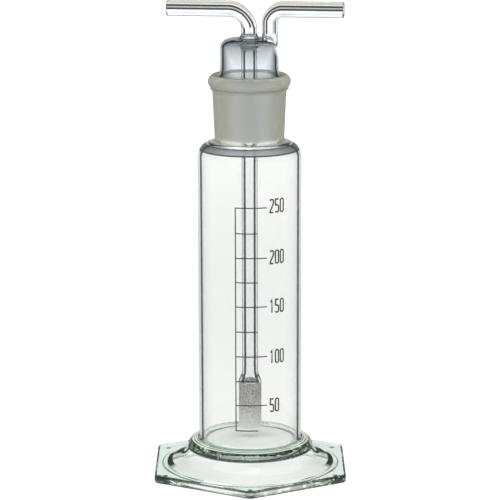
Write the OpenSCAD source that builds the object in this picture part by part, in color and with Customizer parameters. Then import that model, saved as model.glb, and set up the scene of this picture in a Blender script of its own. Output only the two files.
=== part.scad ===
// Gas washing bottle: a cylindrical glass bottle fused to a pressed hexagonal foot, closed by a
// hollow ground stopper head with an inlet arm, a dip tube with a sintered filter and an outlet arm.
// Millimetres. The axis is Z, the foot stands on z = 0, and the arms lie near the X axis.

/* [Foot] */
// distance between opposite flats of the hexagonal plate
foot_across_flats = 98; // [88:1:120]
// radius of the rounded corners of the plate
foot_corner_r = 4; // [2:0.5:8]
// thickness of the plate at its edge
plate_t = 3.6; // [3:0.2:5]
// radius of the rounded upper and lower edge of the plate
plate_edge_r = 1.1; // [0.4:0.1:1.4]
// height of the standing ring and the corner pips below the plate
ring_h = 0.6; // [0.3:0.1:1]
// width of the standing ring
ring_w = 3.3; // [2:0.1:5]
// radius of one corner pip
pip_r = 1.2; // [0.8:0.1:2]
// distance of a pip from the point of its corner
pip_inset = 5.8; // [4:0.2:8]
// height of the face that carries the bottle
seat_h = 13.8; // [13:0.1:18]
// height at which the rounded collar turns into the bell's flare
waist_h = 12.7; // [11.5:0.1:16]
// radius of the rounded collar round the bottle
collar_r = 6.8; // [5.5:0.1:9]
// distance from the bottle's surface in to the centre of that round
collar_inset = 1; // [0:0.1:2]
// radius of the flare between collar and bell
flare_r = 6.5; // [5:0.1:8]
// width of the flat plate beside the bell, at the middle of a side
plate_margin = 5.3; // [5:0.1:9]
// glass thickness of the bell
bell_t = 2.6; // [2:0.1:3.2]
// glass thickness between the hollow and the seat of the bottle
web_t = 1.2; // [0.8:0.1:3]
// radius of the upper corner of the hollow
hollow_round_r = 2.5; // [1:0.1:4]
// distance by which the bell laps over the standing ring
ring_lap = 1.4; // [0.6:0.1:2.5]

/* [Bottle] */
// outer diameter of the bottle body
body_d = 53; // [44:0.5:60]
// wall thickness of the body
body_wall = 1.65; // [1.2:0.05:2.5]
// thickness of the bottle floor
floor_t = 2.5; // [1.6:0.1:5]
// inner radius between floor and wall
floor_round_r = 2.6; // [1:0.1:5]
// height from the floor to the start of the shoulder
body_h = 148.2; // [110:0.1:180]
// outer radius of the rounded shoulder
shoulder_r = 8.5; // [7:0.1:12]
// distance from the start of the shoulder to the lower end of the ground zone
neck_rise = 9.5; // [9:0.1:18]
// radius of the fillet between shoulder and neck
neck_fillet_r = 1.2; // [0.6:0.1:2]

/* [Ground joint] */
// diameter of the ground socket at its mouth
joint_d = 34.5; // [29.2:0.1:40]
// length of the ground zone
joint_l = 31; // [26:0.5:40]
// loss of diameter over ten millimetres of length
joint_taper = 1; // [0.8:0.1:1.2]
// radial gap between the ground cone and its socket
joint_gap = 0.05; // [0.02:0.01:0.1]
// wall of the socket at its mouth
socket_wall = 1.6; // [1.2:0.05:2.5]
// extra wall of the socket at its lower end
socket_thicker = 0.4; // [0:0.05:0.6]
// radius of the rolled bead at the mouth
bead_r = 3.75; // [3:0.05:5]
// height of the bead centre below the mouth face
bead_drop = 3.6; // [3:0.1:5]
// radius of the fillet under the bead
bead_fillet_r = 2.4; // [1:0.1:4]
// height of the flared mouth above the ground zone
mouth_h = 2; // [1:0.1:3]
// widening of the flared mouth
mouth_flare = 0.7; // [0.3:0.1:1.2]

/* [Stopper head] */
// wall thickness of the stopper
stopper_wall = 1.6; // [1.2:0.05:2.2]
// distance of the stopper's lower end above the lower end of the ground zone
cone_short = 1; // [0.5:0.1:3]
// outer diameter of the dome
dome_d = 29.6; // [24:0.1:32]
// height of the shoulder between ground cone and dome
dome_shoulder_h = 3; // [2:0.1:5]
// height of the dome above the ground zone
dome_h = 20; // [18:0.5:30]
// outer radius of the dome's top edge
dome_round_r = 5; // [4:0.1:7]
// turn of the head in the ground joint
head_turn = -8; // [-180:1:180]

/* [Tubes] */
// outer diameter of all tubes
tube_d = 8; // [6:0.1:9]
// wall thickness of all tubes
tube_wall = 1.35; // [1:0.05:1.6]
// height of the arms above the dome
arm_rise = 15; // [13:0.1:20]
// length of the inlet arm from the axis to its end
inlet_l = 42; // [30:0.5:60]
// radius of the inlet bend on the tube's centre line
inlet_bend_r = 10; // [7:0.1:11]
// length of the outlet arm from the axis to its end
outlet_l = 48; // [36:0.5:60]
// radius of the outlet bend on the tube's centre line
outlet_bend_r = 6.5; // [5:0.1:9]
// distance of the outlet riser from the axis
riser_x = 10.5; // [9.5:0.1:12]
// radius of the fillet of the ring seal outside the dome
seal_fillet_r = 3; // [1:0.1:4]
// height of the flared skirt of the ring seal inside the dome
skirt_h = 4.2; // [3:0.1:6]
// widening of that skirt beyond the tube
skirt_flare = 1.5; // [0.8:0.1:2]
// gap between the filter and the bottle floor
filter_gap = 6.5; // [4:0.1:15]

/* [Filter] */
// outer diameter of the sintered filter
filter_d = 11.8; // [9:0.1:16]
// height of the sintered filter
filter_h = 24; // [12:0.5:35]
// wall thickness of the sintered filter
filter_wall = 2.4; // [1.5:0.1:3]
// radius of the filter's lower edge
filter_round_r = 0.8; // [0.3:0.1:1.5]
// height of the glass cone between tube and filter
filter_cone_h = 5; // [3:0.1:8]

/* [Hidden] */
// the list of sub-parts, and the one that is drawn

$fn = 96;
// overshoot of cutting solids
eps = 0.5;
// overlap of two rounds that run into each other
blend = 0.04;

body_r = body_d / 2;
tube_r = tube_d / 2;
bore_r = tube_r - tube_wall;
dome_r = dome_d / 2;
dome_in_r = dome_r - stopper_wall;
filter_r = filter_d / 2;

// foot
plate_top = ring_h + plate_t;
foot_apothem = foot_across_flats / 2;
collar_x = body_r - collar_inset;
flare_x = collar_x + collar_r + flare_r;
bell_r = foot_apothem - plate_margin;
// direction from the flare's centre to the point where the straight bell leaves it
bell_turn = atan2(plate_top - waist_h, bell_r - flare_x)
    - acos(flare_r / norm([bell_r - flare_x, plate_top - waist_h]));
ring_in_r = bell_r - ring_lap;
hollow_r = flare_r + bell_t;
hollow_x = flare_x + hollow_r * cos(bell_turn);
hollow_z = waist_h + hollow_r * sin(bell_turn);
step_h = hollow_z - (ring_in_r - hollow_x) / tan(bell_turn);
cavity_top = seat_h - web_t;
cavity_z = cavity_top - hollow_round_r;
cavity_x = flare_x - sqrt(pow(hollow_r + hollow_round_r, 2) - pow(waist_h - cavity_z, 2));
pip_x = (foot_apothem - foot_corner_r) / cos(30) + foot_corner_r - pip_inset;

// bottle
floor_top = seat_h + floor_t;
shoulder_z = floor_top + body_h;
ground_z = shoulder_z + neck_rise;
mouth_z = ground_z + joint_l;
rim_z = mouth_z + mouth_h;
bead_z = rim_z - bead_drop;
joint_r = joint_d / 2;
slope = joint_taper / 20;
joint_low_r = joint_r - slope * joint_l;
neck_r = joint_low_r + socket_wall + socket_thicker;
shoulder_x = body_r - shoulder_r;
neck_fillet_x = neck_r + neck_fillet_r;
neck_fillet_z = shoulder_z
    + sqrt(pow(shoulder_r + neck_fillet_r - blend, 2) - pow(neck_fillet_x - shoulder_x, 2));
socket_slope = (joint_r + socket_wall - neck_r) / joint_l;
bead_fillet_x = joint_r + socket_wall + bead_fillet_r
    - socket_slope * (mouth_z - bead_z + bead_r + bead_fillet_r / 2);
bead_fillet_z = bead_z
    - sqrt(pow(bead_r + bead_fillet_r - blend, 2) - pow(bead_fillet_x - joint_r, 2));

// stopper head
cone_z = ground_z + cone_short;
cone_r = joint_r - joint_gap;
cone_low_r = cone_r - slope * (joint_l - cone_short);
dome_z = mouth_z + dome_shoulder_h;
dome_top = mouth_z + dome_h;
dome_mid = dome_top - dome_round_r;
dome_in_top = dome_top - stopper_wall;
arm_z = dome_top + arm_rise;
filter_z = floor_top + filter_gap;
filter_top = filter_z + filter_h;

// Hexagon with rounded corners, a corner on the -Y axis.
module hexagon_outline() {
    side = 2 * (foot_apothem - foot_corner_r) * tan(30);
    for (turn = [0, 60, 120]) rotate(turn) square([2 * foot_apothem, side], center = true);
    circle(r = (foot_apothem - foot_corner_r) * 0.99);
    for (turn = [30:60:330]) rotate(turn)
        translate([(foot_apothem - foot_corner_r) / cos(30), 0]) circle(r = foot_corner_r);
}

// Section of a bar as wide as the plate, with rounded upper and lower edges.
module plate_section() {
    half = foot_apothem - plate_edge_r;
    translate([-half, 0]) square([2 * half, plate_t]);
    translate([-foot_apothem, plate_edge_r])
        square([2 * foot_apothem, plate_t - 2 * plate_edge_r]);
    for (side = [-1, 1], z = [plate_edge_r, plate_t - plate_edge_r])
        translate([side * half, z]) circle(r = plate_edge_r);
}

// The hexagonal plate: three bars crossed at 60 degrees, trimmed to the rounded outline.
module plate() {
    translate([0, 0, ring_h]) intersection() {
        linear_extrude(plate_t) hexagon_outline();
        intersection_for(turn = [0, 60, 120]) rotate([90, 0, turn])
            linear_extrude(3 * foot_apothem, center = true) plate_section();
    }
}

// Outer half-section of collar, flare and bell.
module bell_section() {
    difference() {
        polygon([[0, 0], [bell_r, 0], [bell_r, plate_top],
                 [flare_x + flare_r * cos(bell_turn), waist_h + flare_r * sin(bell_turn)],
                 [flare_x, waist_h], [0, waist_h]]);
        translate([flare_x, waist_h]) circle(r = flare_r);
    }
    translate([collar_x, waist_h]) circle(r = collar_r);
    square([collar_x, waist_h + collar_r]);
}

// Half-section of the hollow under the bell, open at the bottom, with a step over the ring.
module bell_hollow_section() {
    difference() {
        polygon([[0, -eps], [ring_in_r, -eps], [ring_in_r, step_h], [hollow_x, hollow_z],
                 [flare_x, waist_h], [cavity_x, cavity_z], [cavity_x, cavity_top], [0, cavity_top]]);
        translate([flare_x, waist_h]) circle(r = hollow_r);
    }
    translate([cavity_x, cavity_z]) circle(r = hollow_round_r);
}

// Pressed foot: hexagonal plate, hollow bell, and the collar fused round the bottle.
module foot() {
    color([0.80, 0.88, 0.80]) difference() {
        union() {
            plate();
            rotate_extrude() difference() {
                union() {
                    bell_section();
                    square([ring_in_r + ring_w, plate_top - plate_edge_r]);
                }
                translate([0, seat_h]) square([body_r, waist_h + collar_r]);
                bell_hollow_section();
            }
            for (turn = [30:60:330]) rotate(turn) translate([pip_x, 0, 0])
                cylinder(r = pip_r, h = ring_h + plate_t / 2);
        }
        rotate_extrude() bell_hollow_section();
    }
}

// Outer half-section of the bottle with shoulder, socket, rolled bead and their fillets.
module bottle_outer_section() {
    translate([0, seat_h]) square([body_r, shoulder_z - seat_h]);
    translate([0, shoulder_z]) square([shoulder_x, shoulder_r]);
    translate([shoulder_x, shoulder_z]) circle(r = shoulder_r);
    difference() {
        polygon([[0, shoulder_z], [neck_r, shoulder_z], [neck_r, ground_z],
                 [bead_fillet_x - bead_fillet_r, bead_fillet_z], [bead_fillet_x, bead_fillet_z],
                 [joint_r, bead_z], [joint_r + mouth_flare, rim_z], [0, rim_z]]);
        translate([bead_fillet_x, bead_fillet_z]) circle(r = bead_fillet_r);
    }
    translate([joint_r, bead_z]) circle(r = bead_r);
    difference() {
        polygon([[shoulder_x, shoulder_z], [neck_fillet_x, neck_fillet_z], [joint_r, neck_fillet_z],
                 [joint_r, shoulder_z]]);
        translate([neck_fillet_x, neck_fillet_z]) circle(r = neck_fillet_r);
    }
}

// Inner half-section of the bottle: body, shoulder, ground socket and flared mouth.
module bottle_inner_section() {
    inner_r = body_r - body_wall;
    translate([0, floor_top]) square([inner_r - floor_round_r, shoulder_z - floor_top]);
    translate([0, floor_top + floor_round_r])
        square([inner_r, shoulder_z - floor_top - floor_round_r]);
    translate([inner_r - floor_round_r, floor_top + floor_round_r]) circle(r = floor_round_r);
    translate([0, shoulder_z - eps]) square([shoulder_x, shoulder_r - body_wall + eps]);
    translate([shoulder_x, shoulder_z]) circle(r = shoulder_r - body_wall);
    polygon([[0, shoulder_z], [joint_low_r, shoulder_z], [joint_low_r, ground_z],
             [joint_r, mouth_z], [joint_r + mouth_flare, rim_z],
             [joint_r + mouth_flare, rim_z + bead_r], [0, rim_z + bead_r]]);
}

// Blown bottle with a flat floor, round shoulder and ground socket.
module bottle() {
    color([0.88, 0.93, 0.93]) rotate_extrude() intersection() {
        difference() {
            bottle_outer_section();
            bottle_inner_section();
        }
        square([2 * body_r, 2 * rim_z]);
    }
}

// Outer half-section of the stopper: ground cone, shoulder and dome.
module stopper_outer_section() {
    polygon([[0, cone_z], [cone_low_r, cone_z], [cone_r, mouth_z],
             [dome_r, dome_z], [dome_r, dome_mid], [0, dome_mid]]);
    translate([0, dome_mid]) square([dome_r - dome_round_r, dome_round_r]);
    intersection() {
        translate([dome_r - dome_round_r, dome_mid]) circle(r = dome_round_r);
        translate([0, cone_z]) square([dome_r, dome_top - cone_z]);
    }
}

// Inner half-section of the stopper, open at its lower end.
module stopper_inner_section() {
    polygon([[0, cone_z - eps], [cone_low_r - stopper_wall, cone_z - eps],
             [cone_low_r - stopper_wall, cone_z], [cone_r - stopper_wall, mouth_z],
             [dome_in_r, dome_z], [dome_in_r, dome_mid], [0, dome_mid]]);
    translate([0, dome_mid]) square([dome_r - dome_round_r, dome_round_r - stopper_wall]);
    intersection() {
        translate([dome_r - dome_round_r, dome_mid]) circle(r = dome_round_r - stopper_wall);
        translate([0, cone_z]) square([dome_in_r, dome_in_top - cone_z]);
    }
}

// Hollow ground stopper with its dome, open to the two tubes at its top.
module stopper() {
    color([0.78, 0.80, 0.78]) difference() {
        rotate_extrude() difference() {
            stopper_outer_section();
            stopper_inner_section();
        }
        translate([0, 0, dome_in_top - eps]) cylinder(r = bore_r, h = stopper_wall + 2 * eps);
        rotate(head_turn) translate([riser_x, 0, dome_mid - stopper_wall])
            cylinder(r = bore_r, h = dome_top);
    }
}

// Straight tube along +X from the origin.
module straight_tube(length) {
    rotate([0, 90, 0]) difference() {
        cylinder(r = tube_r, h = length);
        translate([0, 0, -eps]) cylinder(r = bore_r, h = length + 2 * eps);
    }
}

// Quarter bend that leaves the origin upwards and ends heading along +X.
module quarter_bend(radius) {
    translate([radius, 0, 0]) rotate([90, 0, 0]) rotate_extrude(angle = 90, start = 90)
        translate([radius, 0]) difference() {
            circle(r = tube_r);
            circle(r = bore_r);
        }
}

// Half-section of the ring seal's fillet between the inlet tube and the top of the dome.
module ring_seal_section() {
    translate([0, dome_top]) difference() {
        translate([bore_r, 0]) square([tube_wall + seal_fillet_r, seal_fillet_r]);
        translate([tube_r + seal_fillet_r, seal_fillet_r]) circle(r = seal_fillet_r);
    }
}

// Inlet arm: ring seal on the dome, a bend and a straight arm to the left.
module inlet_arm() {
    bend_z = arm_z - inlet_bend_r;
    color([0.80, 0.86, 0.88]) rotate(head_turn + 180) {
        rotate_extrude() {
            translate([bore_r, dome_top]) square([tube_wall, bend_z - dome_top]);
            ring_seal_section();
        }
        translate([0, 0, bend_z]) quarter_bend(inlet_bend_r);
        translate([inlet_bend_r, 0, arm_z]) straight_tube(inlet_l - inlet_bend_r);
    }
}

// Outlet arm: a riser trimmed to the dome and the ring seal, a tight bend and a straight arm.
module outlet_arm() {
    bend_z = arm_z - outlet_bend_r;
    color([0.80, 0.86, 0.88]) rotate(head_turn) {
        difference() {
            translate([riser_x, 0, dome_mid - dome_round_r / 2])
                cylinder(r = tube_r, h = bend_z - dome_mid + dome_round_r / 2);
            translate([riser_x, 0, dome_mid - dome_round_r]) cylinder(r = bore_r, h = 2 * dome_h);
            rotate_extrude() {
                stopper_outer_section();
                ring_seal_section();
            }
        }
        translate([riser_x, 0, bend_z]) quarter_bend(outlet_bend_r);
        translate([riser_x + outlet_bend_r, 0, arm_z])
            straight_tube(outlet_l - riser_x - outlet_bend_r);
    }
}

// Dip tube: flared skirt under the dome, a long tube and the cone that holds the filter.
module dip_tube() {
    neck_z = filter_top + filter_cone_h;
    color([0.80, 0.86, 0.88]) rotate_extrude() difference() {
        polygon([[0, filter_top], [filter_r, filter_top], [tube_r, neck_z],
                 [tube_r, dome_in_top - skirt_h],
                 [tube_r + skirt_flare * 0.8, dome_in_top - skirt_h * 0.4],
                 [tube_r + skirt_flare, dome_in_top], [0, dome_in_top]]);
        polygon([[0, filter_top - eps], [filter_r - filter_wall, filter_top - eps],
                 [filter_r - filter_wall, filter_top], [bore_r, neck_z],
                 [bore_r, dome_in_top + eps], [0, dome_in_top + eps]]);
    }
}

// Sintered glass filter: a hollow cylinder with a closed, rounded lower end.
module filter() {
    edge = filter_r - filter_round_r;
    color([0.62, 0.62, 0.59]) rotate_extrude() difference() {
        union() {
            translate([0, filter_z]) square([edge, filter_h]);
            translate([0, filter_z + filter_round_r]) square([filter_r, filter_h - filter_round_r]);
            translate([edge, filter_z + filter_round_r]) circle(r = filter_round_r);
        }
        translate([0, filter_z + filter_wall])
            square([filter_r - filter_wall, filter_h]);
    }
}

foot();
bottle();
stopper();
inlet_arm();
outlet_arm();
dip_tube();
filter();
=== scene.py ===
import math

import bmesh
import bpy
from mathutils import Matrix, Vector
from mathutils.kdtree import KDTree


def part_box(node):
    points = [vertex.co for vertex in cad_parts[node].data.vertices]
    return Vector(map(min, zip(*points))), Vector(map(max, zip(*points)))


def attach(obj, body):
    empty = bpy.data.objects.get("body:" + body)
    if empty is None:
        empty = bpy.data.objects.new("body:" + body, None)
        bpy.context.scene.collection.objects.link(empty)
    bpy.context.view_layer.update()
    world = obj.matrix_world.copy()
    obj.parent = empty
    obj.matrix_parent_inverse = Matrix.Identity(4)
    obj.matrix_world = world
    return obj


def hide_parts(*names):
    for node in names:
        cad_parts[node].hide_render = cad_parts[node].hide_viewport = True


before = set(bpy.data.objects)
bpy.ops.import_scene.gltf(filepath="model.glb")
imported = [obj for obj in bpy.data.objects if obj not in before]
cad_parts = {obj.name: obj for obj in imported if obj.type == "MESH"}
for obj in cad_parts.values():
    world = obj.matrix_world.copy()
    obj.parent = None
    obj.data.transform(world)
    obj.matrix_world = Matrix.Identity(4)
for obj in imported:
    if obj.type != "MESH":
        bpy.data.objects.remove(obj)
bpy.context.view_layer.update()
scene = bpy.context.scene

# Gas washing bottle. Shapes are worked out in millimetres, and mesh_object() turns them into
# metres. A surface is a Skin: rings from end to end, each with the zone of the faces after it.
# The glass is clear, with diffuse layers of painted shade and painted light where the photograph
# shows dark, pale or green lines.
MM = 0.001
TAU = 2 * math.pi
SAME_POINT = 1e-4               # mm: closer points of a profile are one point
WALL_END = 1.6                  # mm: height of the short faces that end a wall
UNROLLED = 0.03                 # m that one radian counts in the noise round the axis
WELD, SLIVER = 1e-7, 1e-8       # m: closer vertices are welded, shorter edges are dissolved


# ---------------------------------------------------------------- mesh helpers
def arc(cx, cz, r, a0, a1, n):
    """Points on a circle in the (r, z) half-plane, degrees, both ends included."""
    angles = [math.radians(a0 + (a1 - a0) * i / n) for i in range(n + 1)]
    return [(cx + r * math.cos(a), cz + r * math.sin(a)) for a in angles]


def line(p, q, n):
    """n + 1 points from p to q."""
    return [(p[0] + (q[0] - p[0]) * i / n, p[1] + (q[1] - p[1]) * i / n) for i in range(n + 1)]


def join(*runs):
    """Strings runs of points together, dropping points that repeat."""
    out = []
    for run in runs:
        for p in run:
            if not out or math.dist(out[-1], p) > SAME_POINT:
                out.append(p)
    return out


def wall(r, z0, z1):
    """A straight wall with short faces at both ends, which keep its shading flat."""
    short = math.copysign(WALL_END, z1 - z0)
    return join(line((r, z0), (r, z0 + short), 4), line((r, z0 + short), (r, z1 - short), 4),
                line((r, z1 - short), (r, z1), 4))


def clean(obj, sharp=35.0, flip=True):
    """Welds doubles, points the faces outwards and marks the edges sharper than an angle."""
    bm = bmesh.new()
    bm.from_mesh(obj.data)
    bmesh.ops.remove_doubles(bm, verts=bm.verts, dist=WELD)
    bmesh.ops.dissolve_degenerate(bm, dist=SLIVER, edges=bm.edges)
    if flip:
        bmesh.ops.recalc_face_normals(bm, faces=bm.faces)
    limit = math.radians(sharp)
    for f in bm.faces:
        f.smooth = True
    for e in bm.edges:
        e.smooth = not (len(e.link_faces) == 2 and e.calc_face_angle(0) > limit)
    bm.to_mesh(obj.data)
    bm.free()


def mesh_object(name, verts, faces, mats, mat_index=None):
    """An object at the origin from points in millimetres."""
    mesh = bpy.data.meshes.new(name)
    mesh.from_pydata([tuple(c * MM for c in v) for v in verts], [], faces)
    for m in mats:
        mesh.materials.append(m)
    mesh.polygons.foreach_set("material_index", mat_index or [0] * len(faces))
    mesh.update()
    obj = bpy.data.objects.new(name, mesh)
    scene.collection.objects.link(obj)
    clean(obj)
    return obj


def circle_ring(r, z):
    """A ring round the axis, or a pole on it."""
    if r < 1e-6:
        return (0.0, 0.0, z)
    return lambda a: (r * math.cos(a), r * math.sin(a), z)


def full_turn(n):
    return [TAU * i / n for i in range(n)]


def revolve(rings, angles, closed=False):
    """Faces between rings, which are functions from an angle to (x, y, z), or poles (x, y, z).
    Returns the vertices, the faces and the number of the ring that each face follows."""
    verts, faces, owner, index = [], [], [], []
    n = len(angles)
    for ring in rings:
        points = [ring] if isinstance(ring, tuple) else [ring(a) for a in angles]
        index.append(list(range(len(verts), len(verts) + len(points))))
        verts += points
    pairs = [(i, i + 1) for i in range(len(rings) - 1)]
    if closed:
        pairs.append((len(rings) - 1, 0))
    for i, j in pairs:
        a, b = index[i], index[j]
        for k in range(n):
            m = (k + 1) % n
            if len(a) == 1:
                faces.append((a[0], b[m], b[k]))
            elif len(b) == 1:
                faces.append((a[k], a[m], b[0]))
            else:
                faces.append((a[k], a[m], b[m], b[k]))
            owner.append(i)
    return verts, faces, owner


class Skin:
    """Rings of a surface, with the name of the zone that starts at each."""

    def __init__(self):
        self.rings, self.zones, self.last = [], [], None

    def add(self, rings, zone):
        """Adds rings, poles (x, y, z), or points (r, z) of a profile, unless a point repeats."""
        for ring in rings:
            point = ring if isinstance(ring, tuple) and len(ring) == 2 else None
            if point and self.last and math.dist(self.last, point) < SAME_POINT:
                continue
            self.last = point
            self.rings.append(circle_ring(*point) if point else ring)
            self.zones.append(zone)

    def mesh(self, name, angles, mats, zone_names, closed=False, place=list):
        verts, faces, owner = revolve(self.rings, angles, closed)
        numbers = [zone_names.index(self.zones[i]) for i in owner]
        return mesh_object(name, place(verts), faces, mats, numbers)


# ---------------------------------------------------------------- node helpers
def new_material(name):
    m = bpy.data.materials.new(name)
    m.use_nodes = True
    m.node_tree.nodes.clear()
    return m, m.node_tree


def finish_material(nt, shader, volume=None):
    out = nt.nodes.new("ShaderNodeOutputMaterial")
    nt.links.new(shader, out.inputs["Surface"])
    if volume:
        nt.links.new(volume, out.inputs["Volume"])


def math_node(nt, op, *values):
    """A math node whose inputs are numbers or sockets."""
    n = nt.nodes.new("ShaderNodeMath")
    n.operation = op
    for socket, value in zip(n.inputs, values):
        if isinstance(value, (int, float)):
            socket.default_value = value
        else:
            nt.links.new(value, socket)
    return n.outputs[0]


def times(nt, a, b):
    return math_node(nt, "MULTIPLY", a, b)


def attribute(nt, name):
    a = nt.nodes.new("ShaderNodeAttribute")
    a.attribute_name = name
    return a.outputs["Fac"]


def ramp_node(nt, fac, stops):
    """A ramp from (place, value or colour) pairs."""
    n = nt.nodes.new("ShaderNodeValToRGB")
    elements = n.color_ramp.elements
    while len(elements) > 1:
        elements.remove(elements[-1])
    for i, (pos, v) in enumerate(stops):
        e = elements[0] if i == 0 else elements.new(pos)
        e.position = pos
        e.color = (v, v, v, 1) if isinstance(v, float) else (*v, 1)
    nt.links.new(fac, n.inputs["Fac"])
    return n.outputs["Color"]


def object_place(nt):
    return nt.nodes.new("ShaderNodeTexCoord").outputs["Object"]


def split_xyz(nt, vector):
    sep = nt.nodes.new("ShaderNodeSeparateXYZ")
    nt.links.new(vector, sep.inputs[0])
    return sep.outputs


def rim_coordinate(nt):
    """Object place unrolled round the axis, as a vector of the way round from the front and the
    height, and the height alone."""
    x, y, z = split_xyz(nt, object_place(nt))
    put = nt.nodes.new("ShaderNodeCombineXYZ")
    turn = math_node(nt, "ARCTAN2", x, times(nt, y, -1.0))
    nt.links.new(times(nt, turn, UNROLLED), put.inputs["X"])
    nt.links.new(z, put.inputs["Z"])
    return put.outputs[0], z


def noise(nt, vector, scale, detail=2.0, distortion=0.0):
    tex = nt.nodes.new("ShaderNodeTexNoise")
    tex.inputs["Scale"].default_value = scale
    tex.inputs["Detail"].default_value = detail
    tex.inputs["Distortion"].default_value = distortion
    nt.links.new(vector, tex.inputs["Vector"])
    return tex.outputs["Fac"]


def bump(nt, height, strength, distance, under=None):
    """A bump whose strength is a number or a socket."""
    b = nt.nodes.new("ShaderNodeBump")
    b.inputs["Distance"].default_value = distance
    if isinstance(strength, float):
        b.inputs["Strength"].default_value = strength
    else:
        nt.links.new(strength, b.inputs["Strength"])
    nt.links.new(height, b.inputs["Height"])
    if under:
        nt.links.new(under, b.inputs["Normal"])
    return b.outputs["Normal"]


def colour_mix(nt, factor, below, above):
    """A colour mix: below is a colour or a socket, above is a colour."""
    mix = nt.nodes.new("ShaderNodeMix")
    mix.data_type = "RGBA"
    if isinstance(below, tuple):
        mix.inputs["A"].default_value = (*below, 1)
    else:
        nt.links.new(below, mix.inputs["A"])
    mix.inputs["B"].default_value = (*above, 1)
    nt.links.new(factor, mix.inputs["Factor"])
    return mix.outputs["Result"]


def shader_mix(nt, factor, below, above):
    mix = nt.nodes.new("ShaderNodeMixShader")
    for value, socket in zip((factor, below, above), mix.inputs):
        nt.links.new(value, socket)
    return mix.outputs["Shader"]


# a diffuse layer of one colour over a shader, which paints light and shade on the glass
def painted_shading_layer(nt, factor, below, colour):
    d = nt.nodes.new("ShaderNodeBsdfDiffuse")
    d.inputs["Color"].default_value = (*colour, 1)
    return shader_mix(nt, factor, below, d.outputs["BSDF"])


# ---------------------------------------------------------------- glass
GLASS_IOR = 1.474
LAMP = 0.98         # share of the lamps' light that passes one wall of glass
CLEAR, DOME_TINT, ARM_TINT = (0.95, 0.957, 0.955), (0.885, 0.925, 0.945), (0.93, 0.945, 0.95)
# Colours of the diffuse layers, which paint light and shade on the glass: dark shade for lines and
# outlines, dark green shade in patches, pale green glints; khaki shade on the neck, blue-grey shade
# on the arms, grey shade round the shoulder; cream light on the arms, pale light on the inner
# floor, pale green light on the collar's crest, green like its thick glass.
DARK_SHADE, GREEN_SHADE, PAINTED_GLINT = (0.02, 0.026, 0.023), (0.035, 0.07, 0.028), (0.85, 0.92, 0.84)
WARM_SHADE, SHADE_GREY, BAND_SHADE = (0.265, 0.26, 0.2), (0.22, 0.25, 0.27), (0.22, 0.24, 0.25)
CREAM_LIGHT, PALE_LIGHT, CREST_LIGHT = (0.83, 0.78, 0.62), (0.8, 0.81, 0.79), (0.68, 0.76, 0.66)
# painted dark green shade in patches: by noise, and by how steeply the surface is seen; painted
# glints by noise
GREEN_SHADE_NOISE = [(0.45, 0.97), (0.52, 0.75), (0.57, 0.15), (0.63, 0.0)]
GREEN_SHADE_FACING = [(0.04, 0.2), (0.25, 0.65), (0.45, 1.0)]
PAINTED_GLINT_NOISE = [(0.66, 0.0), (0.7, 0.85)]


def glass_body(nt, tint, facing, rough, bumps, tints, sides):
    """The clear or ground glass under the layers of painted light and painted shade."""
    p = nt.nodes.new("ShaderNodeBsdfPrincipled")
    p.inputs["Base Color"].default_value = (*tint, 1)
    p.inputs["Transmission Weight"].default_value = 1.0
    p.inputs["IOR"].default_value = GLASS_IOR
    colour = ramp_node(nt, facing, sides) if sides else None
    for other, zone in tints:
        colour = colour_mix(nt, attribute(nt, zone), colour or tint, other)
    if colour:
        nt.links.new(colour, p.inputs["Base Color"])
    if isinstance(rough, tuple):
        nt.links.new(times(nt, attribute(nt, rough[1]), rough[0]), p.inputs["Roughness"])
    else:
        p.inputs["Roughness"].default_value = rough
    normal = None
    for scale, detail, strength, distance, zone in bumps:
        normal = bump(nt, noise(nt, object_place(nt), scale, detail),
                      times(nt, attribute(nt, zone), strength), distance, normal)
    if normal:
        nt.links.new(normal, p.inputs["Normal"])
    return p.outputs["BSDF"]


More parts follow.
